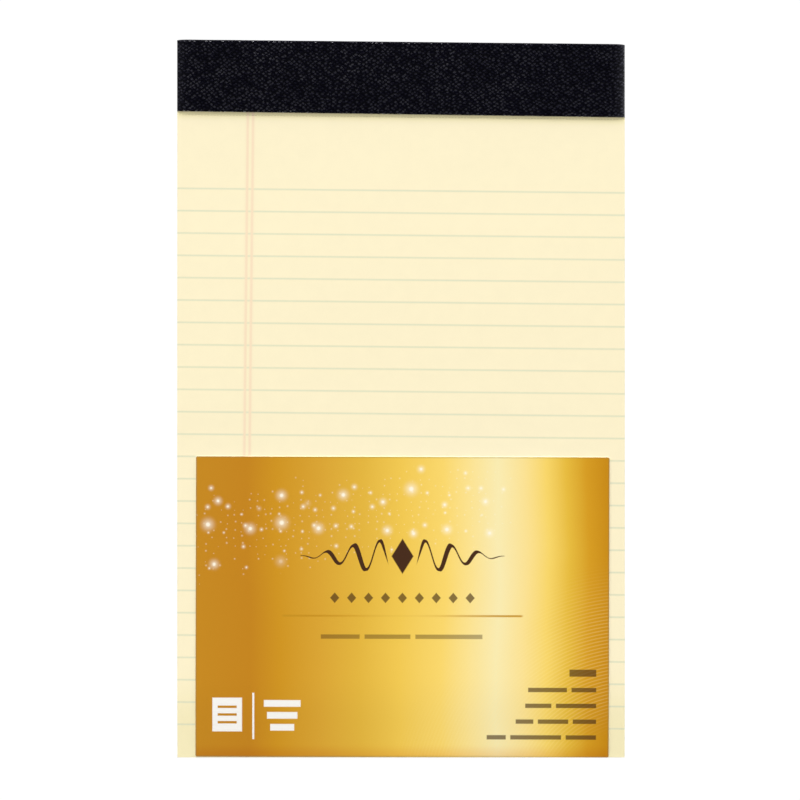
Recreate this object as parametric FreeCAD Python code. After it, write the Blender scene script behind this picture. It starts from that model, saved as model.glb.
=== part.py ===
import FreeCAD, Part
import math
import os

# A junior legal pad lying on its back, in millimetres. +Y runs to its bound head, +X to the right of
# someone who reads it, and +Z up. The origin lies under the middle of its outline.

# The pad as the knife left it
pad_width = 127.0  # from side to side
pad_length = 203.2  # from head to foot on the centreline, over the tape
head_lean = 0.6  # degrees clockwise by which the head is out of square with the trimmed sides and foot

# The stack of ruled sheets
sheet_count = 50
sheet_thickness = 0.1  # one sheet's share of the stack where the sheets lie free
head_squeeze = 0.2  # how much lower the whole stack is where the binding presses it
swell_run = 60.0  # from the tape's edge to where the stack has its free height

# The backing board
board_thickness = 1.524

# The strip of tape folded round the head
tape_thickness = 0.3
tape_front = 20.4  # depth of the band on the front, at the left side
tape_lean = 0.2  # degrees by which the band's edge leans from the head, so the band is deeper at the right
tape_back = 19.0  # depth of the flap on the back
tape_sink = 0.05  # how deep the flap is pressed into the board
fold_radius = 0.3  # inside radius of the tape's two folds

# The two wire staples under the tape
wire_diameter = 0.5
crown_length = 12.7  # between the middles of the legs
clinch_length = 4.5  # from a leg's middle to the tip of its bent end
bend_radius = 0.5  # of the wire's centreline
staple_inset = 8.0  # from the head to the staples
staple_offset = 30.0  # from the centreline to each staple
wire_clearance = 0.02  # all round the wire in its holes and grooves

# The label card that lies on the top sheet
card_width = 117.2
card_height = 85.2
card_thickness = 0.3
card_corner = 0.5
card_lean = 0.15  # degrees clockwise by which the card lies askew
card_offset = 0.4  # of its middle, to the right of the pad's
card_margin = 0.05  # between its lowest corner and the pad's foot

# Places that follow from the sizes
head_rise = pad_width / 2 * math.tan(math.radians(head_lean))
foot_y = -(pad_length + head_rise) / 2
head_y = foot_y + pad_length
flap_z = tape_thickness
board_z = tape_thickness - tape_sink
stack_z = board_z + board_thickness
free_z = stack_z + sheet_count * sheet_thickness
pressed_z = free_z - head_squeeze
tape_front_deepest = tape_front + pad_width * math.tan(math.radians(tape_lean))


# Shapes at the head are drawn in a frame of their own: X along the head edge, Y = 0 at the tape's outside
def at(y, z):
    return FreeCAD.Vector(-pad_width, y, z)


def line(start, end):
    return Part.makeLine(at(*start), at(*end))


def fold(centre, radius, start_angle):
    """Return a quarter circle, its angles in degrees from +Y towards +Z."""
    start, middle, end = (
        at(centre[0] + radius * math.cos(angle), centre[1] + radius * math.sin(angle))
        for angle in (math.radians(start_angle + step) for step in (0, 45, 90))
    )
    return Part.Arc(start, middle, end).toShape()


def swell(start, end):
    """Return two tangent arcs, level at both ends, from the pressed height to the free height."""
    half_run = (start[0] - end[0]) / 2
    half_rise = (end[1] - start[1]) / 2
    radius = (half_run**2 + half_rise**2) / (2 * half_rise)
    half_turn = math.atan2(half_run, radius - half_rise) / 2
    across = radius * math.sin(half_turn)
    up = radius * (1 - math.cos(half_turn))
    middle = at(start[0] - half_run, start[1] + half_rise)
    return [
        Part.Arc(at(*start), at(start[0] - across, start[1] + up), middle).toShape(),
        Part.Arc(middle, at(end[0] + across, end[1] - up), at(*end)).toShape(),
    ]


def bar(edges):
    """Carry a closed section along the head, past both sides of the pad."""
    face = Part.Face(Part.Wire(Part.__sortEdges__(edges)))
    return face.extrude(FreeCAD.Vector(2 * pad_width, 0, 0))


def place(shape):
    """Turn a shape from the head's frame into the pad's frame."""
    placed = shape.copy()
    placed.rotate(FreeCAD.Vector(0, 0, 0), FreeCAD.Vector(0, 0, 1), -head_lean)
    placed.translate(FreeCAD.Vector(0, head_y, 0))
    return placed


def trim(shape):
    """Cut a shape off at the pad's sides and foot, as the knife does."""
    knife = Part.makeBox(
        pad_width,
        2 * pad_length,
        2 * free_z,
        FreeCAD.Vector(-pad_width / 2, foot_y, -free_z / 2),
    )
    return shape.common(knife)


# The staple's wire runs in the plane of X and Z, round the middle of its crown
def staple_wire(extra):
    """Return one staple, its wire and its tips thicker and longer by extra."""
    half_crown = crown_length / 2
    crown_z = pressed_z - wire_diameter / 2
    clinch_z = flap_z + wire_diameter / 2
    diagonal = bend_radius * (1 - math.sqrt(0.5))
    tip = half_crown - clinch_length - extra

    def point(x, z):
        return FreeCAD.Vector(x, 0, z)

    def side(sign):
        outer = sign * half_crown
        inner = sign * (half_crown - bend_radius)
        near = sign * (half_crown - diagonal)
        low_bend = Part.Arc(
            point(inner, clinch_z),
            point(near, clinch_z + diagonal),
            point(outer, clinch_z + bend_radius),
        )
        high_bend = Part.Arc(
            point(outer, crown_z - bend_radius),
            point(near, crown_z - diagonal),
            point(inner, crown_z),
        )
        return [
            Part.makeLine(point(sign * tip, clinch_z), point(inner, clinch_z)),
            low_bend.toShape(),
            Part.makeLine(point(outer, clinch_z + bend_radius), point(outer, crown_z - bend_radius)),
            high_bend.toShape(),
        ]

    crown_end = half_crown - bend_radius
    crown = Part.makeLine(point(-crown_end, crown_z), point(crown_end, crown_z))
    path = Part.Wire(Part.__sortEdges__(side(-1) + [crown] + side(1)))
    section = Part.Wire(
        Part.makeCircle(wire_diameter / 2 + extra, point(-tip, clinch_z), FreeCAD.Vector(1, 0, 0))
    )
    return path.makePipeShell([section], True, False)


def staple_room():
    """Return the space that one staple needs: its holes, and grooves open to the surfaces."""
    half_groove = wire_diameter / 2 + wire_clearance
    half_crown = crown_length / 2
    crown_groove = Part.makeBox(
        crown_length,
        2 * half_groove,
        wire_diameter,
        FreeCAD.Vector(-half_crown, -half_groove, pressed_z - wire_diameter / 2),
    )
    clinch_grooves = [
        Part.makeBox(
            clinch_length + wire_clearance,
            2 * half_groove,
            wire_diameter,
            FreeCAD.Vector(left, -half_groove, flap_z - wire_diameter / 2),
        )
        for left in (-half_crown, half_crown - clinch_length - wire_clearance)
    ]
    return staple_wire(wire_clearance).multiFuse([crown_groove] + clinch_grooves)


def at_staple(shape, side):
    """Move a shape to the left (-1) or right (1) staple's place."""
    moved = shape.copy()
    moved.translate(FreeCAD.Vector(side * staple_offset, -staple_inset, 0))
    return place(moved)


def page_block():
    """Return the fifty sheets as one block that swells beyond the binding."""
    head = -tape_thickness
    tape_edge = -tape_front_deepest
    foot = -2 * pad_length
    edges = [
        line((foot, stack_z), (head, stack_z)),
        line((head, stack_z), (head, pressed_z - fold_radius)),
        fold((head - fold_radius, pressed_z - fold_radius), fold_radius, 0),
        line((head - fold_radius, pressed_z), (tape_edge, pressed_z)),
        *swell((tape_edge, pressed_z), (tape_edge - swell_run, free_z)),
        line((tape_edge - swell_run, free_z), (foot, free_z)),
        line((foot, free_z), (foot, stack_z)),
    ]
    block = trim(place(bar(edges)))
    for side in (-1, 1):
        block = block.cut(at_staple(staple_room(), side))
    return block


def backing_board():
    """Return the board, pressed in a little where the tape's flap is glued on."""
    head = -tape_thickness
    foot = -2 * pad_length
    edges = [
        line((foot, board_z), (-tape_back, board_z)),
        line((-tape_back, board_z), (-tape_back, flap_z)),
        line((-tape_back, flap_z), (head - fold_radius, flap_z)),
        fold((head - fold_radius, flap_z + fold_radius), fold_radius, -90),
        line((head, flap_z + fold_radius), (head, stack_z)),
        line((head, stack_z), (foot, stack_z)),
        line((foot, stack_z), (foot, board_z)),
    ]
    board = trim(place(bar(edges)))
    for side in (-1, 1):
        board = board.cut(at_staple(staple_room(), side))
    return board


def binding_tape():
    """Return the strip: a band on the front, the head's edge and a flap on the back."""
    inner_y = -tape_thickness
    fold_y = inner_y - fold_radius
    outer_radius = fold_radius + tape_thickness
    top_z = pressed_z + tape_thickness
    low_centre = (fold_y, flap_z + fold_radius)
    high_centre = (fold_y, pressed_z - fold_radius)
    edges = [
        line((-tape_back, 0), (fold_y, 0)),
        fold(low_centre, outer_radius, -90),
        line((0, low_centre[1]), (0, high_centre[1])),
        fold(high_centre, outer_radius, 0),
        line((fold_y, top_z), (-tape_front_deepest, top_z)),
        line((-tape_front_deepest, top_z), (-tape_front_deepest, pressed_z)),
        line((-tape_front_deepest, pressed_z), (fold_y, pressed_z)),
        fold(high_centre, fold_radius, 0),
        line((inner_y, high_centre[1]), (inner_y, low_centre[1])),
        fold(low_centre, fold_radius, -90),
        line((fold_y, flap_z), (-tape_back, flap_z)),
        line((-tape_back, flap_z), (-tape_back, 0)),
    ]
    beyond_edge = Part.makeBox(
        2 * pad_width,
        tape_front_deepest,
        2 * tape_thickness,
        FreeCAD.Vector(-pad_width / 2, -tape_front - tape_front_deepest, pressed_z - tape_thickness / 2),
    )
    left_end = FreeCAD.Vector(-pad_width / 2, -tape_front, 0)
    beyond_edge.rotate(left_end, FreeCAD.Vector(0, 0, 1), -tape_lean)
    return trim(place(bar(edges).cut(beyond_edge)))


def label_card():
    """Return the card, laid on the free part of the top sheet against the foot."""
    card = Part.makeBox(
        card_width,
        card_height,
        card_thickness,
        FreeCAD.Vector(-card_width / 2, -card_height / 2, free_z),
    )
    corners = [edge for edge in card.Edges if edge.BoundBox.ZLength > card_thickness / 2]
    card = card.makeFillet(card_corner, corners)
    lean = math.radians(card_lean)
    reach = card_height / 2 * math.cos(lean) + card_width / 2 * math.sin(lean)
    card.rotate(FreeCAD.Vector(0, 0, 0), FreeCAD.Vector(0, 0, 1), -card_lean)
    card.translate(FreeCAD.Vector(card_offset, foot_y + card_margin + reach, 0))
    return card


nodes = {
    "page_block": page_block(),
    "backing_board": backing_board(),
    "binding_tape": binding_tape(),
    "staple_left": at_staple(staple_wire(0), -1),
    "staple_right": at_staple(staple_wire(0), 1),
    "label_card": label_card(),
}

os.makedirs("parts", exist_ok=True)
for name, shape in nodes.items():
    shape.exportStep(f"parts/{name}.step")
    box = shape.optimalBoundingBox(False, False)
    print(
        f"{name}: {len(shape.Solids)} solid, {shape.Volume:.1f} mm3,"
        f" X {box.XMin:.2f} to {box.XMax:.2f}, Y {box.YMin:.2f} to {box.YMax:.2f},"
        f" Z {box.ZMin:.3f} to {box.ZMax:.3f}"
    )
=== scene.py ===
import math

import bpy
import numpy as np
from bpy.props import FloatProperty, FloatVectorProperty, IntProperty, PointerProperty
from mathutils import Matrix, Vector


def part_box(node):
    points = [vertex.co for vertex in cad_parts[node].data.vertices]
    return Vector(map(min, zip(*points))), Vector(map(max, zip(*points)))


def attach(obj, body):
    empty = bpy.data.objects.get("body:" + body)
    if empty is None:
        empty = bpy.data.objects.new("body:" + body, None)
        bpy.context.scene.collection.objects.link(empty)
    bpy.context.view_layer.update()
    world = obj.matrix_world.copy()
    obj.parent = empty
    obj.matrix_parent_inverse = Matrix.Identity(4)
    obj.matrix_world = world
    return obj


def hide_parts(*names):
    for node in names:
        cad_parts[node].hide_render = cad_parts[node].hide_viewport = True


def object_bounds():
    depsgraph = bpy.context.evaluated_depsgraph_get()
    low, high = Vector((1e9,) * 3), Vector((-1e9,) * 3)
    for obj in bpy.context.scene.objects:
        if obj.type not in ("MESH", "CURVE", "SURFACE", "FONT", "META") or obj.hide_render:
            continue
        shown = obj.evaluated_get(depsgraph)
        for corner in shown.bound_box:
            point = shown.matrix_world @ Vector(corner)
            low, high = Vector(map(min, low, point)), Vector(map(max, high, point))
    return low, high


bl_info = {
    "name": "Legal Pad",
    "version": (1, 0, 0),
    "blender": (4, 5, 0),
    "location": "3D View > Sidebar > Legal Pad",
    "description": "Builds the looks of a junior legal pad round its packed frame",
    "category": "Object",
}

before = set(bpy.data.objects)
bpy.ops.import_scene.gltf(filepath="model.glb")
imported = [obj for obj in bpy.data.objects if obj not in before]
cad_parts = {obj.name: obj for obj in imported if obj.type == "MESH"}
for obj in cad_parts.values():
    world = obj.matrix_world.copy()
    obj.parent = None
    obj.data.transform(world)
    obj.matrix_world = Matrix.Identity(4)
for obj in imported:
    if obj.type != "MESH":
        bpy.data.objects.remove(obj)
cad_low, cad_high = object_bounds()

MM = 0.001
SEED = 5
TOUCH = 0.01 * MM  # points closer than this are taken to lie at the same place
TOP_FOLD = 3
BAND = 4


def node_points(name):
    """Return a CAD node's vertices as an array of rows of x, y and z, in metres."""
    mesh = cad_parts[name].data
    flat = np.empty(len(mesh.vertices) * 3)
    mesh.vertices.foreach_get("co", flat)
    return flat.reshape(-1, 3)


def side_reach(points, side, low, high):
    """Return the least and greatest y on the left (-1) or right (1) side, between two heights."""
    z = points[:, 2]
    at_side = points[(np.abs(points[:, 0] - side * cad_high.x) < TOUCH) & (z > low) & (z < high)]
    return at_side[:, 1].min(), at_side[:, 1].max()


# Places that every piece shares, read from the frame
tape_points = node_points("binding_tape")
tape_top = tape_points[:, 2].max()
stack_low, stack_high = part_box("page_block")
card_low, card_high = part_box("label_card")
half_width = cad_high.x
foot_y = stack_low.y
band_left_y, _ = side_reach(tape_points, -1, tape_top - TOUCH, tape_top + TOUCH)
band_right_y, _ = side_reach(tape_points, 1, tape_top - TOUCH, tape_top + TOUCH)
flap_left_y, _ = side_reach(tape_points, -1, -TOUCH, TOUCH)
_, head_left_y = side_reach(tape_points, -1, 0, tape_top)
_, head_right_y = side_reach(tape_points, 1, 0, tape_top)
head_y = (head_left_y + head_right_y) / 2
head_slope = (head_left_y - head_right_y) / (2 * half_width)
head_lean = math.atan(head_slope)
tape_thickness = head_left_y - stack_high.y
pressed_z = tape_top - tape_thickness


def depth_below_head(x, y):
    """Return how far a point lies below the head's leaning edge, measured square to that edge."""
    return (head_y - head_slope * x - y) * math.cos(head_lean)


def y_at_depth(x, depth):
    """Return the y of the point at x that lies the given depth below the head's edge."""
    return head_y - head_slope * x - depth / math.cos(head_lean)


band_left = depth_below_head(-half_width, band_left_y)
band_right = depth_below_head(half_width, band_right_y)
flap_depth = depth_below_head(-half_width, flap_left_y)


def length_property(name, description, default):
    """Return a property that holds a length in metres."""
    return FloatProperty(name=name, description=description, default=default, unit="LENGTH")


def colour_property(name, description, default):
    """Return a property that holds a colour as linear red, green and blue."""
    return FloatVectorProperty(name=name, description=description, subtype="COLOR", default=default)


class LegalPadSheets(bpy.types.PropertyGroup):
    """Sizes and colours of the ruled sheets."""

    count: IntProperty(name="Sheets", description="How many sheets the pad has", default=50, min=2)
    air: FloatProperty(
        name="Air", description="Share of a sheet's pitch that is air", default=0.12, min=0, max=0.5
    )
    swell_run: length_property("Swell run", "Length over which the stack rises beyond the binding", 60 * MM)
    foot_drop: length_property("Foot drop", "How much lower the stack lies at its foot", 0.52 * MM)
    foot_run: length_property("Foot run", "Length over which the stack falls towards its foot", 23 * MM)
    foot_bend: FloatProperty(
        name="Foot bend", description="Share of the foot run over which the slope grows",
        default=0.5, min=0.05, max=1,
    )
    ripple: length_property("Ripple", "Height of the top sheet's slow waves", 0.06 * MM)
    trim_play: length_property("Trim play", "How far one sheet's edge stands behind the others", 0.06 * MM)
    first_rule: length_property("First rule", "Depth of the first rule below the head", 42.3 * MM)
    rule_pitch: length_property("Rule pitch", "Distance between two rules", 6.335 * MM)
    rule_count: IntProperty(name="Rules", description="How many rules a sheet has", default=25, min=1)
    rule_width: length_property("Rule width", "Width of a rule", 0.46 * MM)
    margin_offset: length_property(
        "Margin offset", "Place of the outer margin line, left of the pad's middle", 43.2 * MM
    )
    margin_gap: length_property("Margin gap", "Distance between the margin lines", 1.48 * MM)
    margin_width: length_property("Margin width", "Width of a margin line", 0.7 * MM)
    paper: colour_property("Paper", "Colour of the sheets", (0.944, 0.850, 0.583))
    # Painted shade: a warm, darker tint that the paper's front takes below the binding and towards the foot
    painted_shade_tint: colour_property("Warm", "Tint of the paper along the binding and the foot", (0.97, 0.975, 0.83))
    rule_ink: colour_property("Rule ink", "Colour of the rules", (0.745, 0.735, 0.515))
    margin_ink: colour_property("Margin ink", "Colour of the margin lines", (0.905, 0.73, 0.505))


class LegalPadBinding(bpy.types.PropertyGroup):
    """Sizes and colours of the binding tape and the staples under it."""

    fold_radius: length_property("Fold radius", "Inside radius of the tape's folds", 0.3 * MM)
    mesh_step: length_property("Mesh step", "Distance between the tape's points", 0.24 * MM)
    back_step: length_property("Back step", "Distance between rows of points on the flap", 0.35 * MM)
    grain_width: length_property("Grain width", "Distance between two columns of pebbles", 0.795 * MM)
    grain_height: length_property("Grain height", "Pitch of the pebbles in a column", 1.13 * MM)
    grain_depth: length_property("Grain depth", "Depth of the embossing", 0.24 * MM)
    wave_depth: length_property("Wave depth", "Depth of the strip's slow waves", 0.06 * MM)
    end_roll: length_property("End roll", "How far the cut ends are rolled down", 0.23 * MM)
    colour: colour_property("Tape", "Colour of the tape", (0.0024, 0.0021, 0.0068))
    # Part scuff, part painted highlight: the lighter colour of the rolled-down cut ends
    end_wear_and_highlight: colour_property("Scuff", "Colour of the tape's scuffed ends", (0.12, 0.12, 0.15))
    staple_offset: length_property("Staple offset", "Distance of each staple from the centreline", 30 * MM)
    staple_inset: length_property("Staple inset", "Depth of the staples below the head", 8 * MM)
    crown_length: length_property("Crown length", "Distance between a staple's legs", 12.7 * MM)
    wire_room: length_property("Wire room", "Width of the holes and grooves round the wire", 0.54 * MM)
    steel: colour_property("Steel", "Colour of the staples", (0.62, 0.62, 0.63))


class LegalPadBoard(bpy.types.PropertyGroup):
    """Colours of the chipboard."""

    pulp: colour_property("Pulp", "Main colour of the board", (0.36, 0.31, 0.24))
    dark_fleck: colour_property("Dark flecks", "Colour of its dark flecks", (0.12, 0.10, 0.08))
    pale_fleck: colour_property("Pale flecks", "Colour of its pale flecks", (0.62, 0.57, 0.48))


class LegalPadCard(bpy.types.PropertyGroup):
    """Sizes and colours of the label card."""

    width: length_property("Width", "Width of the card", 117.2 * MM)
    height: length_property("Height", "Height of the card", 85.2 * MM)
    corner: length_property("Corner", "Radius of the card's corners", 0.5 * MM)
    ink: colour_property("Ink", "Colour of the brown print", (0.060, 0.022, 0.008))
    core: colour_property("Core", "Colour of the card's cut edge and back", (0.78, 0.74, 0.66))


class LegalPadStage(bpy.types.PropertyGroup):
    """Camera and light."""

    camera_height: length_property("Camera height", "Height of the camera above the sheets", 0.5357)
    camera_x: length_property("Camera x", "Sideways place of the camera", -0.28 * MM)
    camera_y: length_property("Camera y", "Lengthways place of the camera", -0.43 * MM)
    lens: FloatProperty(name="Lens", description="Focal length in millimetres", default=85)
    key_power: FloatProperty(name="Key power", description="Power of the light behind the head", default=1470)
    fill_power: FloatProperty(name="Fill power", description="Power of the light past the foot", default=2.9)
    glint_power: FloatProperty(name="Glint power", description="Power of the small high light", default=17.5)
    side_power: FloatProperty(name="Side power", description="Power of the small right light", default=1.2)
    horizon: FloatProperty(name="Horizon", description="Strength of the sky near the floor", default=1.0)
    zenith: FloatProperty(name="Zenith", description="Strength of the sky overhead", default=0.05)


def settings():
    return bpy.context.scene.legal_pad


class Socket:
    """One output of a shader node, on which + - * / and abs() add Math nodes."""

    def __init__(self, paint, output):
        self.paint = paint
        self.output = output

    def math(self, operation, *others):
        return self.paint.node("Math", {"operation": operation}, self, *others)

    def __add__(self, other):
        return self.math("ADD", other)

    __radd__ = __add__

    def __sub__(self, other):
        return self.math("SUBTRACT", other)

    def __rsub__(self, other):
        return self.paint.node("Math", {"operation": "SUBTRACT"}, other, self)

    def __mul__(self, other):
        return self.math("MULTIPLY", other)

    __rmul__ = __mul__

    def __truediv__(self, other):
        return self.math("DIVIDE", other)

    def __abs__(self):
        return self.math("ABSOLUTE")

    def least(self, other):
        return self.math("MINIMUM", other)

    def most(self, other):
        return self.math("MAXIMUM", other)

    def rise(self, start, end):
        """Return 0 below start and 1 above end, with a smooth step between them."""
        return self.paint.node(
            "MapRange", {"interpolation_type": "SMOOTHSTEP"}, self, start, end, 0.0, 1.0
        )

    def fall(self, start, end):
        """Return 1 below start and 0 above end, with a smooth step between them."""
        return self.paint.node(
            "MapRange", {"interpolation_type": "SMOOTHSTEP"}, self, start, end, 1.0, 0.0
        )


class Paint:
    """The nodes of a material or a world."""

    def __init__(self, owner):
        self.owner = owner
        owner.use_nodes = True
        self.tree = owner.node_tree
        self.tree.nodes.clear()

    def node(self, kind, choices, *values, out=0, **named):
        """Add a node: its choices are set first, then its inputs in order or by name."""
        made = self.tree.nodes.new("ShaderNode" + kind)
        for name, choice in choices.items():
            if name == "stops":
                self.set_stops(made.color_ramp, choice)
            else:
                setattr(made, name, choice)
        targets = list(zip(made.inputs, values))
        targets += [(made.inputs[name.replace("_", " ")], value) for name, value in named.items()]
        for target, value in targets:
            if isinstance(value, Socket):
                self.tree.links.new(value.output, target)
            elif value is not None:
                target.default_value = value
        return Socket(self, made.outputs[out]) if made.outputs else None

    def set_stops(self, ramp, stops):
        while len(ramp.elements) < len(stops):
            ramp.elements.new(1.0)
        for element, (place, colour) in zip(ramp.elements, stops):
            element.position = place
            element.color = (*colour, 1.0)

    def mix(self, share, first, second, blend="MIX"):
        """Mix two colours; share is how much of the second there is."""
        made = self.tree.nodes.new("ShaderNodeMix")
        made.data_type = "RGBA"
        made.blend_type = blend
        for target, value in zip((made.inputs[0], made.inputs[6], made.inputs[7]), (share, first, second)):
            if isinstance(value, Socket):
                self.tree.links.new(value.output, target)
            else:
                target.default_value = (*value, 1.0) if hasattr(value, "__len__") else value
        return Socket(self, made.outputs[2])

    def split(self, vector, count):
        """Return the first parts of a vector, as many as count says."""
        return [self.node("SeparateXYZ", {}, vector, out=i) for i in range(count)]

    def place(self):
        """Return the object's coordinates as a vector and as x, y and z, in millimetres."""
        vector = self.node("TexCoord", {}, out=3)
        scaled = self.node("VectorMath", {"operation": "SCALE"}, vector, Scale=1 / MM)
        return (scaled, *self.split(scaled, 3))

    def cells(self, vector, scale, randomness, count):
        """Return the distance to a flat cell's middle, then its chance colour and its middle."""
        flat = {"voronoi_dimensions": "2D"}
        return [
            self.node("TexVoronoi", flat, Vector=vector, Scale=scale, Randomness=randomness, out=i)
            for i in range(count)
        ]

    def noise(self, vector, scale, detail=2.0, roughness=0.5):
        return self.node(
            "TexNoise", {}, Vector=vector, Scale=scale, Detail=detail, Roughness=roughness
        )

    def bump(self, height, strength, distance, below=None):
        return self.node(
            "Bump", {}, Strength=strength, Distance=distance, Height=height, Normal=below
        )

    def finish(self, **inputs):
        """Add a Principled shader with the given inputs, and return the material."""
        surface = self.node("BsdfPrincipled", {}, **inputs)
        self.node("OutputMaterial", {}, surface)
        return self.owner


def in_print_frame(x, y):
    """Return sockets, in millimetres, that run along the leaning head and down from it."""
    below = head_y / MM - y
    along = x * math.cos(head_lean) + below * math.sin(head_lean)
    depth = below * math.cos(head_lean) - x * math.sin(head_lean)
    return along, depth


def paint_paper():
    """Canary writing paper: rules, two margin lines and a row of perforations, on mottled fibre, with painted
    warm shade below the binding and towards the foot, and painted shade in the perforations' slits.
    """
    sheets = settings().sheets
    paint = Paint(bpy.data.materials.new("canary_paper"))
    vector, x, y, z = paint.place()
    along, depth = in_print_frame(x, y)

    row = (depth - sheets.first_rule / MM) / (sheets.rule_pitch / MM)
    nearest = row.math("ROUND").most(0.0).least(sheets.rule_count - 1.0)
    from_rule = abs(row - nearest) * (sheets.rule_pitch / MM)
    half_rule = sheets.rule_width / MM / 2
    rule_blur = 0.2
    rule = from_rule.fall(half_rule - rule_blur, half_rule + rule_blur)

    outer = abs(along + sheets.margin_offset / MM)
    inner = abs(along + (sheets.margin_offset - sheets.margin_gap) / MM)
    from_margin = outer.least(inner)
    half_margin = sheets.margin_width / MM / 2
    margin_blur = 0.25
    core = from_margin.fall(half_margin - margin_blur, half_margin + margin_blur)
    halo = from_margin.fall(0.3, 1.3)
    margin = core * 0.78 + halo * 0.22

    inked = paint.noise(vector, 6.0, 3.0).rise(0.3, 0.55) * 0.25 + 0.75
    slit_pitch = 0.9
    perforation_gap = 0.6
    perforation_depth = band_right / MM + perforation_gap
    slit = abs((along / slit_pitch).math("FRACT") - 0.5).fall(0.3, 0.38)
    perforation = abs(depth - perforation_depth).fall(0.03, 0.09) * slit

    cloud = paint.noise(vector, 0.25, 2.0) - 0.5
    fibre = paint.noise(vector, 3.0, 3.0, 0.6) - 0.5
    shade = cloud * 0.035 + fibre * 0.03 + 1.0
    grey = paint.node("CombineColor", {}, shade, shade, shade)
    base = paint.mix(1.0, tuple(sheets.paper), grey, "MULTIPLY")
    # Painted shade: the front is tinted warmer and darker for 3 mm below the band, as the band's shadow, and
    # over the last 27 mm before the foot, as the drooping foot's shade
    band_lean = (band_right - band_left) / (2 * half_width)
    below_band = depth - (band_left + band_right) / 2 / MM - along * band_lean
    above_foot = y - foot_y / MM
    on_front = z.rise(pressed_z / MM - 0.9, pressed_z / MM - 0.7)
    shade_tint_share = below_band.fall(0.2, 2.8).most(above_foot.fall(9.0, 27.0) * 0.65) * on_front
    base = paint.mix(shade_tint_share, base, tuple(sheets.painted_shade_tint), "MULTIPLY")
    ruled = paint.mix(rule * inked, base, tuple(sheets.rule_ink))
    lined = paint.mix(margin * inked, ruled, tuple(sheets.margin_ink))
    # Painted shade: the perforations' slits, which the mesh does not cut, are laid on as dark dashes
    shaded_slits = paint.mix(perforation * 0.35, lined, (0.35, 0.27, 0.13))

    tooth = paint.bump(paint.noise(vector, 9.0, 4.0, 0.65), 0.25, 0.012 * MM)
    pricked = paint.bump(1.0 - perforation, 0.5, 0.05 * MM, tooth)
    return paint.finish(
        Base_Color=shaded_slits, Roughness=0.82, Specular_IOR_Level=0.25, Normal=pricked
    )


def paint_tape():
    """Near-black embossed paper: its pebbles' tops are glossy and painted lighter, its valleys dull and
    painted in shade, and its cut ends painted lighter, part scuff and part painted highlight of their
    rolled-down edges.
    """
    paint = Paint(bpy.data.materials.new("leatherette_paper"))
    binding = settings().binding
    roll = paint.node("Attribute", {"attribute_name": "roll"}, out=2)
    lattice = paint.node("UVMap", {"uv_map": "grain"})
    strip = paint.node("UVMap", {"uv_map": "wrap"})
    wobble = paint.node("TexNoise", {}, Vector=strip, Scale=330.0, Detail=1.0, out=1)
    centred = paint.node("VectorMath", {"operation": "SUBTRACT"}, wobble, (0.5, 0.5, 0.5))
    bent = paint.node("VectorMath", {"operation": "ADD"}, lattice, centred)
    spots, chance = paint.cells(bent, 1.0, 0.55, 2)
    level = paint.node("SeparateColor", {}, chance) * 0.75 + 0.25
    pebble_radius = 0.48
    reach = spots / pebble_radius
    pebble = (1.0 - reach * reach).most(0.0) * level
    worn = paint.noise(strip, 110.0, 2.0).rise(0.3, 0.7) * 0.6 + 0.4
    pores = paint.noise(strip, 5200.0, 3.0, 0.6)
    _, stops = wrap_rows(binding)
    from_fold = (paint.node("SeparateXYZ", {}, strip, out=1) - float(stops[BAND])) / MM
    rubbed = from_fold.rise(0.0, 0.9) * 0.65 + 0.35
    flattened = abs(from_fold).rise(0.3, 1.3) * 0.7 + 0.3
    # Part scuff, part painted highlight: the rolled-down ends are painted lighter, most on the pebbles' tops
    worn_and_highlit = roll * (pebble * 0.8 + 0.1)
    # Painted shade: the base is darker in the valleys between the pebbles and lighter on their tops
    painted_pebble_shade = pebble * 1.5 + worn * 0.2 + 0.22
    grey = paint.node("CombineColor", {}, painted_pebble_shade, painted_pebble_shade, painted_pebble_shade)
    base = paint.mix(1.0, tuple(binding.colour), grey, "MULTIPLY")
    ended = paint.mix(worn_and_highlit, base, tuple(binding.end_wear_and_highlight))
    grained = paint.bump((pebble + pores * 0.08) * flattened, 1.0, binding.grain_depth)
    return paint.finish(
        Base_Color=ended, Roughness=(pores - 0.5) * 0.1 + 0.42, Specular_IOR_Level=0.05, Normal=grained,
        Coat_Weight=(pebble.rise(0.3, 0.65) * worn * rubbed).most(roll), Coat_Roughness=0.2, Coat_IOR=2.4,
    )


def paint_board():
    """Grey-brown recycled board: mottled pulp with dark and pale flecks, layered along its cut edges."""
    board = settings().board
    paint = Paint(bpy.data.materials.new("chipboard"))
    vector, *_ = paint.place()
    flattened = paint.node("VectorMath", {"operation": "MULTIPLY"}, vector, (0.35, 0.35, 4.0))
    layers = paint.noise(flattened, 2.2, 3.0)
    mottle = paint.noise(vector, 0.5, 4.0, 0.6)
    specks = paint.noise(vector, 2.4, 2.0, 0.7)
    crumbs = paint.noise(vector, 4.5, 2.0, 0.7)
    pulp = paint.mix(
        (mottle - 0.5) * 0.8 + (layers - 0.5) * 0.6 + 0.5,
        tuple(c * 0.8 for c in board.pulp),
        tuple(min(1.0, c * 1.2) for c in board.pulp),
    )
    darker = paint.mix(specks.rise(0.62, 0.70) * 0.75, pulp, tuple(board.dark_fleck))
    flecked = paint.mix(crumbs.rise(0.64, 0.70) * 0.6, darker, tuple(board.pale_fleck))
    rough_face = paint.bump(layers * 0.5 + paint.noise(vector, 6.0, 3.0, 0.6), 0.4, 0.04 * MM)
    return paint.finish(
        Base_Color=flecked, Roughness=0.9, Specular_IOR_Level=0.2, Normal=rough_face
    )


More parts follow.
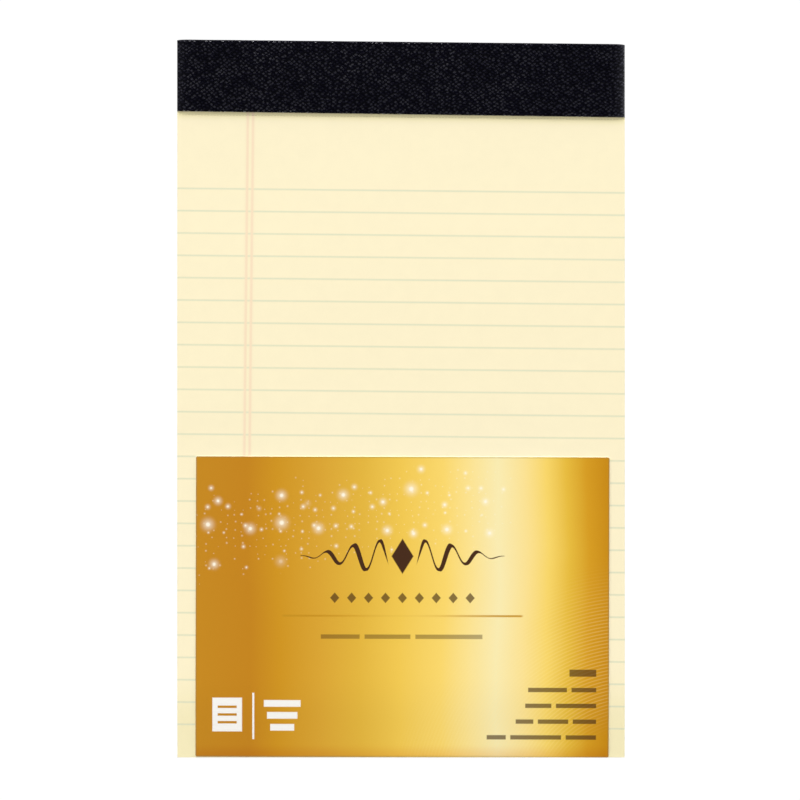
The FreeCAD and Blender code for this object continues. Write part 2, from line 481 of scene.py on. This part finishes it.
def paint_steel():
    """Drawn and galvanised wire."""
    paint = Paint(bpy.data.materials.new("staple_steel"))
    vector, *_ = paint.place()
    drawn = paint.noise(vector, 14.0, 3.0)
    return paint.finish(
        Base_Color=(*settings().binding.steel, 1.0), Metallic=1.0, Roughness=drawn * 0.3 + 0.2
    )


def box_shape(u, v, middle, half, soft):
    """Return 1 inside an upright rectangle of the card's print, and 0 outside it."""
    across = abs(u - middle[0]) - half[0]
    upright = abs(v - middle[1]) - half[1]
    return across.most(upright).fall(-soft, soft)


def diamond_shape(u, v, middle, half, soft):
    """Return 1 inside a diamond of the card's print, and 0 outside it."""
    reach = abs(u - middle[0]) / half[0] + abs(v - middle[1]) / half[1]
    return reach.fall(1.0 - soft / min(half), 1.0 + soft / min(half))


# The card's gold gradient: shares of its width from the left, and the colour at each
GOLD_STOPS = (
    (0.00, (0.549, 0.243, 0.012)),
    (0.13, (0.540, 0.225, 0.010)),
    (0.20, (0.611, 0.289, 0.012)),
    (0.30, (0.683, 0.362, 0.030)),
    (0.40, (0.754, 0.452, 0.046)),
    (0.50, (0.866, 0.568, 0.080)),
    (0.60, (0.935, 0.665, 0.143)),
    (0.66, (0.948, 0.742, 0.265)),
    (0.73, (0.935, 0.815, 0.430)),
    (0.80, (0.945, 0.732, 0.268)),
    (0.85, (0.918, 0.655, 0.134)),
    (0.90, (0.780, 0.485, 0.044)),
    (0.95, (0.655, 0.322, 0.012)),
    (1.00, (0.565, 0.247, 0.004)),
)


def paint_card():
    """Printed card: a gold gradient with fine arcs and pale dots, a brown ornament, bars and white signs,
    with painted shade along its cut edges and at its foot.
    """
    card = settings().card
    paint = Paint(bpy.data.materials.new("gold_card"))
    flat = paint.node("UVMap", {"uv_map": "face"})
    scaled = paint.node("VectorMath", {"operation": "SCALE"}, flat, Scale=1 / MM)
    u, v = paint.split(scaled, 2)
    half_width_mm = card.width / MM / 2
    half_height_mm = card.height / MM / 2
    share = u / (2 * half_width_mm) + 0.5
    drift = (paint.noise(scaled, 0.02, 2.0) - 0.5) * 0.05
    gold = paint.node("ValToRGB", {"stops": GOLD_STOPS}, share + drift)

    from_corner_u = u - 66.0
    from_corner_v = v + 58.0
    radius = (from_corner_u * from_corner_u + from_corner_v * from_corner_v).math("SQRT")
    arc_pitch = 0.95
    arc_line = abs((radius / arc_pitch).math("FRACT") - 0.5).rise(0.22, 0.42)
    arcs = arc_line * radius.rise(22.0, 34.0) * radius.fall(52.0, 74.0)
    textured = paint.mix(arcs * 0.16, gold, (1.0, 0.80, 0.34))

    printed = textured
    for pitch, size, strength in ((9.5, 0.15, 0.95), (5.2, 0.12, 0.85), (2.1, 0.11, 0.45)):
        spots, chance, middle = paint.cells(scaled, 1 / pitch, 0.6, 3)
        spot_u, spot_v = paint.split(middle, 2)
        crowd = abs(spot_v - 27.0 - spot_u * 0.12).fall(3.0, 19.0) * spot_u.fall(22.0, 38.0)
        luck = paint.node("SeparateColor", {}, chance)
        keep = (luck + crowd).rise(1.18, 1.24)
        spread = paint.node("SeparateColor", {}, chance, out=1) * 0.6 + 0.4
        reach = spots / (spread * size)
        glow = reach.fall(0.0, 2.8)
        dot = reach.fall(0.2, 1.0).most(glow * glow * 0.6)
        printed = paint.mix(dot * keep * strength, printed, (1.0, 0.93, 0.76))

    ornament_v = 14.4
    wave_start = 4.6
    wave_height = 4.6
    turn_per_mm = 2 * math.pi / 7.6
    dark = diamond_shape(u, v, (0.0, ornament_v), (3.1, 5.0), 0.2)
    reach = abs(u)
    phase = (reach - wave_start) * turn_per_mm
    swing = reach.fall(2.0, 32.0) * wave_height
    slope = phase.math("COSINE") * swing * turn_per_mm
    off_wave = abs(v - ornament_v - phase.math("SINE") * swing) / (slope * slope + 1.0).math("SQRT")
    pen = phase.math("COSINE").rise(-1.0, 1.0) * 0.5 + 0.16
    wave = (off_wave - pen * reach.fall(16.0, 31.0) * reach.rise(3.6, 7.0)).fall(-0.05, 0.12)
    dark = dark.most(wave * reach.rise(3.8, 4.4) * reach.fall(28.6, 29.2))
    for index in range(9):
        dark = dark.most(diamond_shape(u, v, ((index - 4) * 4.8, 2.6), (1.3, 1.5), 0.15) * 0.8)
    for middle, length in ((-17.6, 11.0), (-4.2, 13.0), (13.2, 19.0)):
        dark = dark.most(box_shape(u, v, (middle, -8.4), (length / 2, 0.62), 0.12) * 0.55)
    divider = abs(v + 2.5).fall(0.2, 0.36) * reach.fall(33.5, 34.5) * (reach.rise(2.0, 30.0) * 0.8 + 0.1)
    printed = paint.mix(divider, printed, (0.55, 0.27, 0.012))
    right_end = half_width_mm - 3.6
    words = (
        (-18.6, 1.0, (7.6,)),
        (-23.4, 0.62, (7.0, 11.0)),
        (-27.9, 0.62, (11.4, 7.4)),
        (-32.4, 0.62, (6.6, 8.6, 5.0)),
        (-36.9, 0.62, (8.6, 14.4, 5.4)),
    )
    for height, thick, lengths in words:
        end = right_end
        for length in lengths:
            middle = (end - length / 2, height)
            dark = dark.most(box_shape(u, v, middle, (length / 2, thick), 0.12) * 0.78)
            end -= length + 1.3
    browned = paint.mix(dark, printed, tuple(card.ink))

    left_end = -half_width_mm
    white = box_shape(u, v, (left_end + 9.0, -30.6), (4.2, 4.8), 0.15)
    for index in range(3):
        line = box_shape(u, v, (left_end + 9.0, -28.4 - index * 2.2), (2.7, 0.35), 0.1)
        white = white - line
    white = white.most(box_shape(u, v, (left_end + 16.4, -31.0), (0.28, 6.6), 0.1))
    for index in range(3):
        middle = (left_end + 24.6, -27.4 - index * 3.4)
        white = white.most(box_shape(u, v, middle, (5.2 - index * 0.9, 0.95), 0.12))
    signed = paint.mix(white, browned, (0.93, 0.91, 0.86))

    edge_u = half_width_mm - abs(u)
    edge_v = half_height_mm - abs(v)
    # Painted shade: the card's last 4 mm towards its foot, where it droops, are darker
    bent = paint.mix((v + half_height_mm).fall(0.0, 4.0), signed, (0.93, 0.80, 0.70), "MULTIPLY")
    # Painted shade: the printed face darkens within 0.6 mm of its cut edges, where the edge stands in shade
    worn = edge_u.least(edge_v).fall(0.0, 0.6) * 0.45
    face = paint.mix(worn, bent, (0.27, 0.20, 0.08))
    printed_side = paint.node("Attribute", {"attribute_name": "printed"}, out=2)
    colour = paint.mix(printed_side, (*card.core,), face)
    ripple = paint.noise(scaled, 0.12, 2.0)
    tooth = paint.noise(scaled, 7.0, 2.0)
    surface = paint.bump(ripple * 0.7 + tooth * 0.05, 0.25, 0.05 * MM)
    return paint.finish(
        Base_Color=colour, Roughness=(tooth - 0.5) * 0.1 + 0.42, Specular_IOR_Level=0.3, Normal=surface
    )


def paint_floor():
    """Pale studio floor that the camera, and gloss, see as white with a faint shadow."""
    paint = Paint(bpy.data.materials.new("studio_floor"))
    ray = [paint.node("LightPath", {}, out=name) for name in ("Is Camera Ray", "Is Glossy Ray")]
    seen = ray[0].most(ray[1]).most(paint.node("LightPath", {}, out="Is Transmission Ray"))
    plain = paint.node("BsdfDiffuse", {}, (0.80, 0.80, 0.80, 1.0))
    faint = paint.node("BsdfDiffuse", {}, (0.04, 0.04, 0.04, 1.0))
    white = paint.node("Emission", {}, (1.0, 1.0, 1.0, 1.0), 0.985)
    bright = paint.node("AddShader", {}, faint, white)
    surface = paint.node("MixShader", {}, seen, plain, bright)
    paint.node("OutputMaterial", {}, surface)
    return paint.owner


def paint_sky(world, horizon, zenith):
    """Studio room: bright walls round the horizon and a darker ceiling, as a blend over the height."""
    paint = Paint(world)
    direction = paint.node("TexCoord", {}, out=0)
    height = paint.node("SeparateXYZ", {}, direction, out=2)
    strength = height.fall(0.34, 0.68) * (horizon - zenith) + zenith
    colour = paint.node("Background", {}, (1.0, 1.0, 1.0, 1.0), strength)
    paint.node("OutputWorld", {}, colour)


def slab(top, bottom, kept):
    """Return points and faces of a closed slab.

    top and bottom are arrays of rows and columns of points, with columns towards +X and rows towards -Y,
    and kept says which cells between them exist. A cell gives a face above and one below, and a wall
    wherever its neighbour is missing.
    """
    rows, columns = top.shape[:2]
    index = np.arange(rows * columns).reshape(rows, columns)
    back_left, back_right = index[:-1, :-1], index[:-1, 1:]
    front_left, front_right = index[1:, :-1], index[1:, 1:]
    corners = np.stack([back_left, front_left, front_right, back_right], axis=-1)
    upper = corners[kept]
    lower = upper[:, ::-1] + rows * columns
    ringed = np.pad(kept, 1)
    neighbours = (ringed[1:-1, :-2], ringed[2:, 1:-1], ringed[1:-1, 2:], ringed[:-2, 1:-1])
    walls = []
    for side, neighbour in enumerate(neighbours):
        open_cells = kept & ~neighbour
        start = corners[..., side][open_cells]
        end = corners[..., (side + 1) % 4][open_cells]
        walls.append(np.stack([end, start, start + rows * columns, end + rows * columns], axis=-1))
    points = np.concatenate([top.reshape(-1, 3), bottom.reshape(-1, 3)])
    return points, np.concatenate([upper, lower, *walls])


def mesh_object(name, points, corners, sizes, smooth, material):
    """Return a mesh object at the origin; sizes says how many of the corners each face takes in turn."""
    mesh = bpy.data.meshes.new(name)
    mesh.vertices.add(len(points))
    mesh.vertices.foreach_set("co", points.astype(np.float32).ravel())
    mesh.loops.add(len(corners))
    mesh.loops.foreach_set("vertex_index", corners.astype(np.int32))
    mesh.polygons.add(len(sizes))
    starts = np.concatenate([[0], np.cumsum(sizes)[:-1]])
    mesh.polygons.foreach_set("loop_start", starts.astype(np.int32))
    mesh.polygons.foreach_set("use_smooth", smooth)
    mesh.update()
    mesh.validate()
    made = bpy.data.objects.new(name, mesh)
    bpy.context.scene.collection.objects.link(made)
    mesh.materials.append(material)
    return made


def slab_object(name, slabs, material):
    """Join slabs into one mesh object with flat faces."""
    counts = [len(points) for points, _ in slabs]
    firsts = np.cumsum([0, *counts[:-1]])
    points = np.concatenate([points for points, _ in slabs])
    faces = np.concatenate([faces + first for (_, faces), first in zip(slabs, firsts)])
    flat = np.zeros(len(faces), bool)
    return mesh_object(name, points, faces.ravel(), np.full(len(faces), 4), flat, material)


def add_map(mesh, name, plan):
    """Give a mesh a flat map; plan has a row of two coordinates for each of its points."""
    corners = np.empty(len(mesh.loops), np.int32)
    mesh.loops.foreach_get("vertex_index", corners)
    layer = mesh.uv_layers.new(name=name)
    layer.data.foreach_set("uv", plan[corners].astype(np.float32).ravel())


def coat_node(name, material):
    """Give a CAD node that the scene keeps as it is its material."""
    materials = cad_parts[name].data.materials
    materials.clear()
    materials.append(material)


def stack_height(x, y, share):
    """Return the height of a level of the stack; share is 0 at the board and 1 at the top.

    The stack is pressed under the binding, swells by an S-curve of two parabolas beyond it, and falls
    towards the foot by a parabola and then a straight slope.
    """
    sheets = settings().sheets
    free = stack_high.z - stack_low.z
    pressed = pressed_z - stack_low.z
    swell = np.clip((depth_below_head(x, y) - band_right) / sheets.swell_run, 0, 1)
    swell = np.where(swell < 0.5, 2 * swell**2, 1 - 2 * (1 - swell) ** 2)
    way = np.clip(1 - (y - foot_y) / sheets.foot_run, 0, 1)
    bend = sheets.foot_bend
    fall = np.where(way < bend, way**2 / (2 * bend), way - bend / 2) / (1 - bend / 2)
    return stack_low.z + share * (pressed + (free - pressed) * swell - sheets.foot_drop * fall)


class OBJECT_OT_legal_pad_sheets(bpy.types.Operator):
    """Build the fifty sheets as closed slabs"""

    bl_idname = "object.legal_pad_sheets"
    bl_label = "Sheets"

    def execute(self, context):
        sheets = settings().sheets
        binding = settings().binding
        random = np.random.default_rng(SEED)
        pitch = (stack_high.z - stack_low.z) / sheets.count
        wire = binding.wire_room / 2
        legs = np.array([side * binding.staple_offset + leg * binding.crown_length / 2
                         for side in (-1, 1) for leg in (-1, 1)])
        legs = legs - math.sin(head_lean) * binding.staple_inset
        leg_edges = np.sort(np.concatenate([legs - wire, legs + wire]))
        plain_columns = np.concatenate([np.linspace(-half_width, half_width, 7), leg_edges])
        staple_rows = [binding.staple_inset - wire, binding.staple_inset + wire]
        foot_depth = depth_below_head(0, foot_y)
        rows = np.concatenate([
            [tape_thickness, tape_thickness + binding.fold_radius],
            staple_rows,
            np.linspace(band_right, band_right + sheets.swell_run, 11),
            np.linspace(band_right + sheets.swell_run + 15 * MM, foot_depth - sheets.foot_run, 6),
            np.linspace(foot_depth - sheets.foot_run, foot_depth, 10)[1:],
        ])
        crown_sheets = math.ceil(binding.wire_room / pitch)
        fine_columns = np.linspace(-half_width, half_width, 61)
        fine_rows = np.linspace(band_right, foot_depth, 110)
        slabs = []
        for sheet in range(sheets.count):
            columns = np.unique(plain_columns)
            levels = np.unique(rows)
            if sheet == sheets.count - 1:
                columns = np.unique(np.concatenate([plain_columns, fine_columns]))
                levels = np.unique(np.concatenate([rows, fine_rows]))
            slabs.append(self.sheet(sheet, columns, levels, legs, crown_sheets, random))
        made = slab_object("sheets", slabs, paint_paper())
        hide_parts("page_block")
        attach(made, "root")
        return {"FINISHED"}

    def sheet(self, number, columns, levels, legs, crown_sheets, random):
        """Return one sheet: a grid between the leaning head and the foot, with the staples' holes.

        Rows keep the head's lean beside the head and lose it evenly towards the foot.
        """
        sheets = settings().sheets
        binding = settings().binding
        foot_depth = levels.max()
        way = (levels - tape_thickness) / (foot_depth - tape_thickness)
        x = np.broadcast_to(columns, (len(levels), len(columns))).copy()
        head_edge = y_at_depth(x, tape_thickness)
        y = head_edge + (foot_y - head_edge) * way[:, None]
        keep_x, keep_depth = np.meshgrid((columns[:-1] + columns[1:]) / 2, (levels[:-1] + levels[1:]) / 2)
        at_staple = np.abs(keep_depth - binding.staple_inset) < binding.wire_room / 2
        in_hole = np.zeros(keep_x.shape, bool)
        for leg in legs:
            in_hole |= np.abs(keep_x - leg) < binding.wire_room / 2
        if number >= sheets.count - crown_sheets:
            for left, right in (legs[:2], legs[2:]):
                in_hole |= (keep_x > left) & (keep_x < right)
        kept = ~(at_staple & in_hole)
        play = sheets.trim_play
        x[:, 0] += random.uniform(0, play)
        x[:, -1] -= random.uniform(0, play)
        y[-1] += random.uniform(0, play)
        share = number / sheets.count
        share_above = (number + 1) / sheets.count
        low = stack_height(x, y, share)
        high = stack_height(x, y, share_above)
        high = high - (high - low) * sheets.air
        if number == sheets.count - 1:
            high = high + (high - low) * sheets.air / (1 - sheets.air)
            wave = self.ripple(x, y)
            low = low + wave
            high = high + wave
        rounding = binding.fold_radius - np.clip(levels - tape_thickness, 0, binding.fold_radius)
        corner = binding.fold_radius - np.sqrt(np.maximum(binding.fold_radius**2 - rounding**2, 0))
        ceiling = pressed_z - corner[:, None]
        high = np.minimum(high, np.where(levels[:, None] < band_right, ceiling, high))
        least_thickness = 0.002 * MM
        low = np.minimum(low, high - least_thickness)
        return slab(np.stack([x, y, high], axis=-1), np.stack([x, y, low], axis=-1), kept)

    def ripple(self, x, y):
        """Return slow waves of the top sheet, level under the card and under the binding."""
        ripple = settings().sheets.ripple
        wave = np.sin(x / (19 * MM) + 0.8) * np.sin(y / (27 * MM) + 0.4 + x / (60 * MM))
        wave = wave + 0.5 * np.sin(x / (11 * MM) - y / (16 * MM))
        beyond_band = np.clip((depth_below_head(x, y) - band_right - 2 * MM) / (20 * MM), 0, 1)
        above_card = np.clip((y - card_high.y - 1 * MM) / (15 * MM), 0, 1)
        share = beyond_band**2 * (3 - 2 * beyond_band) * above_card**2 * (3 - 2 * above_card)
        return ripple * share * (0.5 + wave / 3)


def wrap_rows(binding):
    """Return the tape's rows, as distances along its outside from the flap's edge, and its stops.

    The stops are where the flap, the low fold, the head's edge, the top fold and the band start, and the
    band's edge. TOP_FOLD and BAND are two of their places in the list.
    """
    radius = binding.fold_radius + tape_thickness
    turn = radius * math.pi / 2
    flap = flap_depth - radius
    rise = tape_top - 2 * radius
    band = band_right - radius
    stops = np.cumsum([0, flap, turn, rise, turn, band])
    steps = (binding.back_step, binding.mesh_step / 2, binding.mesh_step, binding.mesh_step / 2,
             binding.mesh_step)
    pieces = [np.linspace(a, b, max(2, int(round((b - a) / step))), endpoint=False)
              for a, b, step in zip(stops[:-1], stops[1:], steps)]
    return np.concatenate([*pieces, stops[-1:]]), stops


def wrap_surface(x, distance, stops, radius, lift):
    """Return points of the folded tape.

    A centre runs inside the folds at the fold's radius, and the surface lies at that radius plus the lift
    along a normal that turns from down, through the head's direction, to up.
    """
    binding = settings().binding
    outside = binding.fold_radius + tape_thickness
    centre_depth = np.interp(distance, stops, [flap_depth, outside, outside, outside, outside, band_right])
    centre_z = np.interp(distance, stops, [outside, outside, outside, tape_top - outside, tape_top - outside,
                                           tape_top - outside])
    angle = np.radians(np.interp(distance, stops, [-90, -90, 0, 0, 90, 90]))
    on_band = distance > stops[BAND]
    local_band = band_left + (band_right - band_left) * (x + half_width) / (2 * half_width)
    band_share = (local_band - outside) / (band_right - outside)
    centre_depth = np.where(on_band, outside + (centre_depth - outside) * band_share, centre_depth)
    reach = radius + lift
    depth = centre_depth - reach * np.cos(angle)
    return np.stack([x, y_at_depth(x, depth), centre_z + reach * np.sin(angle)], axis=-1)


def grain_lattice(along, across, binding):
    """Return two coordinates of the grain that are both whole in the middle of each pebble.

    Pebbles lie in columns, every second one half a pitch lower. Slow sines bend the columns and rows, and
    the rows slant at the right end. Half the sum and half the difference of column and row are returned.
    """
    column = along / binding.grain_width + 0.25 * np.sin(across / (2.3 * MM) + along / (13 * MM))
    row = across / (binding.grain_height / 2)
    row = row + 0.7 * np.sin(along / (17 * MM)) + 0.5 * np.sin(across / (9 * MM) + along / (31 * MM))
    row = row + 1.6 * np.exp((along - half_width) / (1.5 * MM))
    return (column + row) / 2, (column - row) / 2


def paper_waves(along, across):
    """Return slow waves of the glued strip, from 0 to 1: products of sines over 3 to 8 mm."""
    wide = np.sin(along / (2.9 * MM) + across / (5 * MM)) * np.sin(across / (2.3 * MM) - along / (8 * MM))
    narrow = np.sin(along / (1.3 * MM) + 1) * np.sin(across / (1.1 * MM) + along / (4 * MM))
    return 0.5 + 0.3 * wide + 0.2 * narrow


class OBJECT_OT_legal_pad_binding(bpy.types.Operator):
    """Build the embossed tape folded round the head"""

    bl_idname = "object.legal_pad_binding"
    bl_label = "Binding tape"

    def execute(self, context):
        binding = settings().binding
        distances, stops = wrap_rows(binding)
        count = int(round(2 * half_width / binding.mesh_step)) + 1
        x, distance = np.meshgrid(np.linspace(-half_width, half_width, count), distances)
        lattice = grain_lattice(x, distance, binding)
        roll = np.exp(-(half_width - np.abs(x)) / (0.9 * MM))
        rim = np.exp(-(((distances[-1] - distance) / (0.5 * MM)) ** 2))
        ridge = np.exp(-(((stops[TOP_FOLD] - distance) / (1.1 * MM)) ** 2))
        depth = binding.wave_depth * (1 - 0.7 * roll) * (1 - 0.8 * rim) * (1 - 0.6 * ridge)
        lift = -depth * paper_waves(x, distance) - binding.end_roll * roll
        outside = binding.fold_radius + tape_thickness
        outer = wrap_surface(x, distance, stops, outside, lift)
        side_x = np.array([-half_width, half_width])
        inner_x, inner_distance = np.meshgrid(side_x, distances)
        inner = wrap_surface(inner_x, inner_distance, stops, binding.fold_radius, 0)
        rows, columns = x.shape
        index = np.arange(rows * columns).reshape(rows, columns)
        inside = np.arange(rows * 2).reshape(rows, 2) + rows * columns
        skin = np.stack([index[:-1, :-1], index[:-1, 1:], index[1:, 1:], index[1:, :-1]], axis=-1)
        lining = np.stack([inside[1:, 0], inside[1:, 1], inside[:-1, 1], inside[:-1, 0]], axis=-1)
        left = np.stack([index[:-1, 0], index[1:, 0], inside[1:, 0], inside[:-1, 0]], axis=-1)
        right = np.stack([inside[:-1, 1], inside[1:, 1], index[1:, -1], index[:-1, -1]], axis=-1)
        quads = np.concatenate([skin.reshape(-1, 4), lining, left, right])
        flap_end = [*index[0][::-1], inside[0, 0], inside[0, 1]]
        band_end = [*index[-1], inside[-1, 1], inside[-1, 0]]
        points = np.concatenate([outer.reshape(-1, 3), inner.reshape(-1, 3)])
        sizes = [4] * len(quads) + [len(flap_end), len(band_end)]
        corners = np.concatenate([quads.ravel(), flap_end, band_end])
        smooth = np.arange(len(sizes)) < (rows - 1) * (columns - 1)
        made = mesh_object("embossed_tape", points, corners, sizes, smooth, paint_tape())
        # The ends are painted lighter, less on the left: part scuff, part painted highlight of the
        # rolled-down ends
        left_wear_and_highlight = 0.3
        worn_and_highlit = roll * np.where(x < 0, left_wear_and_highlight, 1.0)
        rolled = np.concatenate([worn_and_highlit.ravel(), np.zeros(inner_x.size)]).astype(np.float32)
        made.data.attributes.new("roll", "FLOAT", "POINT").data.foreach_set("value", rolled)
        inner_lattice = grain_lattice(inner_x, inner_distance, binding)
        self.map_both(made.data, "wrap", (x, distance), (inner_x, inner_distance))
        self.map_both(made.data, "grain", lattice, inner_lattice)
        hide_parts("binding_tape")
        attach(made, "root")
        return {"FINISHED"}

    def map_both(self, mesh, name, skin, lining):
        """Give the tape a flat map from two coordinates of its skin's and its lining's points."""
        plan = [np.concatenate([a.ravel(), b.ravel()]) for a, b in zip(skin, lining)]
        add_map(mesh, name, np.stack(plan, axis=-1))


class OBJECT_OT_legal_pad_board(bpy.types.Operator):
    """Give the backing board its chipboard finish"""

    bl_idname = "object.legal_pad_board"
    bl_label = "Backing board"

    def execute(self, context):
        coat_node("backing_board", paint_board())
        return {"FINISHED"}


class OBJECT_OT_legal_pad_staples(bpy.types.Operator):
    """Give both staples their steel finish"""

    bl_idname = "object.legal_pad_staples"
    bl_label = "Staples"

    def execute(self, context):
        steel = paint_steel()
        for name in ("staple_left", "staple_right"):
            coat_node(name, steel)
        return {"FINISHED"}


class OBJECT_OT_legal_pad_card(bpy.types.Operator):
    """Build the label card, which follows the sheet that it lies on"""

    bl_idname = "object.legal_pad_card"
    bl_label = "Label card"

    def execute(self, context):
        card = settings().card
        half_u = card.width / 2
        half_v = card.height / 2
        corner = card.corner
        corner_steps = np.linspace(0, corner, 6)
        middle_u = np.linspace(corner - half_u, half_u - corner, 13)[1:-1]
        middle_v = np.linspace(corner - half_v, half_v - corner, 41)[1:-1]
        flat_u = np.concatenate([corner_steps - half_u, middle_u, half_u - corner_steps[::-1]])
        flat_v = np.concatenate([half_v - corner_steps, middle_v[::-1], corner_steps[::-1] - half_v])
        u, v = self.round_corners(*np.meshgrid(flat_u, flat_v), half_u, half_v, corner)
        lean = self.lean(card)
        x = u * math.cos(lean) + v * math.sin(lean) + (card_low.x + card_high.x) / 2
        y = v * math.cos(lean) - u * math.sin(lean) + (card_low.y + card_high.y) / 2
        low = stack_height(x, y, 1)
        high = low + (card_high.z - card_low.z)
        kept = np.ones((len(flat_v) - 1, len(flat_u) - 1), bool)
        whole = slab(np.stack([x, y, high], axis=-1), np.stack([x, y, low], axis=-1), kept)
        made = slab_object("gold_label_card", [whole], paint_card())
        self.add_maps(made.data, u, v, kept.size)
        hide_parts("label_card")
        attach(made, "root")
        return {"FINISHED"}

    def lean(self, card):
        """Return the card's clockwise lean, from the height of its box.

        The box is as high as the card's height times the cosine plus its width times the sine, less what
        the rounded corners take off, which is small for a small lean.
        """
        extra = (card_high.y - card_low.y) - card.height
        return max(0.0, extra / (card.width - 2 * card.corner))

    def round_corners(self, u, v, half_u, half_v, corner):
        """Move each corner square's points onto circles: a point keeps its larger offset as its radius."""
        p = np.maximum(np.abs(u) - (half_u - corner), 0)
        q = np.maximum(np.abs(v) - (half_v - corner), 0)
        length = np.hypot(p, q)
        scale = np.where(length > 0, np.maximum(p, q) / np.maximum(length, 1e-12), 1)
        new_u = np.sign(u) * (np.abs(u) - p + p * scale)
        new_v = np.sign(v) * (np.abs(v) - q + q * scale)
        return new_u, new_v

    def add_maps(self, mesh, u, v, printed_faces):
        """Give the card a flat map in metres from its middle, and mark its printed face."""
        add_map(mesh, "face", np.tile(np.stack([u.ravel(), v.ravel()], axis=-1), (2, 1)))
        marks = (np.arange(len(mesh.polygons)) < printed_faces).astype(np.float32)
        mesh.attributes.new("printed", "FLOAT", "FACE").data.foreach_set("value", marks)


def add_area_light(name, place, target, size, power):
    """Add an area light at a place that faces a target, and return it."""
    data = bpy.data.lights.new(name, "AREA")
    data.shape = "RECTANGLE"
    data.size, data.size_y = size
    data.energy = power
    light = bpy.data.objects.new(name, data)
    light.location = place
    direction = target - light.location
    light.rotation_euler = direction.to_track_quat("-Z", "Y").to_euler()
    bpy.context.scene.collection.objects.link(light)
    return light


def from_angles(azimuth, elevation, distance):
    """Return a point at an azimuth clockwise from +Y, an elevation and a distance, in degrees and metres."""
    turn, up = math.radians(azimuth), math.radians(elevation)
    flat = distance * math.cos(up)
    return Vector((flat * math.sin(turn), flat * math.cos(turn), distance * math.sin(up)))


class OBJECT_OT_legal_pad_stage(bpy.types.Operator):
    """Build the floor, the lights and the camera"""

    bl_idname = "object.legal_pad_stage"
    bl_label = "Stage"

    def execute(self, context):
        stage = settings().stage
        half_floor = 3.0
        floor_thickness = 0.02
        side = np.array([-half_floor, half_floor])
        x, y = np.meshgrid(side, side[::-1])
        top = np.stack([x, y, np.zeros_like(x)], axis=-1)
        bottom = top - np.array([0, 0, floor_thickness])
        floor = slab_object("floor", [slab(top, bottom, np.ones((1, 1), bool))], paint_floor())
        middle = Vector((0, 0, stack_high.z))
        key = add_area_light("key", from_angles(0, 12, 8.0), middle, (6.0, 2.6), stage.key_power)
        key.visible_glossy = False
        add_area_light("fill", from_angles(205, 28, 1.1), middle, (0.8, 0.4), stage.fill_power)
        add_area_light("glint", from_angles(-8, 58, 3.0), middle, (0.6, 0.4), stage.glint_power)
        add_area_light("side", from_angles(85, 52, 1.5), middle, (0.4, 0.25), stage.side_power)
        world = bpy.data.worlds.new("studio")
        context.scene.world = world
        paint_sky(world, stage.horizon, stage.zenith)
        data = bpy.data.cameras.new("camera")
        data.lens = stage.lens
        camera = bpy.data.objects.new("camera", data)
        camera.location = (stage.camera_x, stage.camera_y, stack_high.z + stage.camera_height)
        context.scene.collection.objects.link(camera)
        context.scene.camera = camera
        context.scene.view_settings.view_transform = "Standard"
        return {"FINISHED"}


class LegalPadSettings(bpy.types.PropertyGroup):
    """All the pad's settings."""

    sheets: PointerProperty(type=LegalPadSheets)
    binding: PointerProperty(type=LegalPadBinding)
    board: PointerProperty(type=LegalPadBoard)
    card: PointerProperty(type=LegalPadCard)
    stage: PointerProperty(type=LegalPadStage)


operators = (
    OBJECT_OT_legal_pad_sheets,
    OBJECT_OT_legal_pad_binding,
    OBJECT_OT_legal_pad_board,
    OBJECT_OT_legal_pad_staples,
    OBJECT_OT_legal_pad_card,
    OBJECT_OT_legal_pad_stage,
)


class VIEW3D_PT_legal_pad(bpy.types.Panel):
    """Lists the pad's pieces and settings"""

    bl_label = "Legal Pad"
    bl_idname = "VIEW3D_PT_legal_pad"
    bl_space_type = "VIEW_3D"
    bl_region_type = "UI"
    bl_category = "Legal Pad"

    def draw(self, context):
        for operator in operators:
            self.layout.operator(operator.bl_idname)
        for part in LegalPadSettings.__annotations__:
            group = getattr(settings(), part)
            box = self.layout.box()
            for name in group.__annotations__:
                box.prop(group, name)


classes = (
    LegalPadSheets,
    LegalPadBinding,
    LegalPadBoard,
    LegalPadCard,
    LegalPadStage,
    LegalPadSettings,
    *operators,
    VIEW3D_PT_legal_pad,
)


def register():
    for item in classes:
        bpy.utils.register_class(item)
    bpy.types.Scene.legal_pad = PointerProperty(type=LegalPadSettings)


def unregister():
    del bpy.types.Scene.legal_pad
    for item in reversed(classes):
        bpy.utils.unregister_class(item)


def main():
    register()
    for operator in operators:
        group, name = operator.bl_idname.split(".")
        getattr(getattr(bpy.ops, group), name)()


if __name__ == "__main__":
    main()
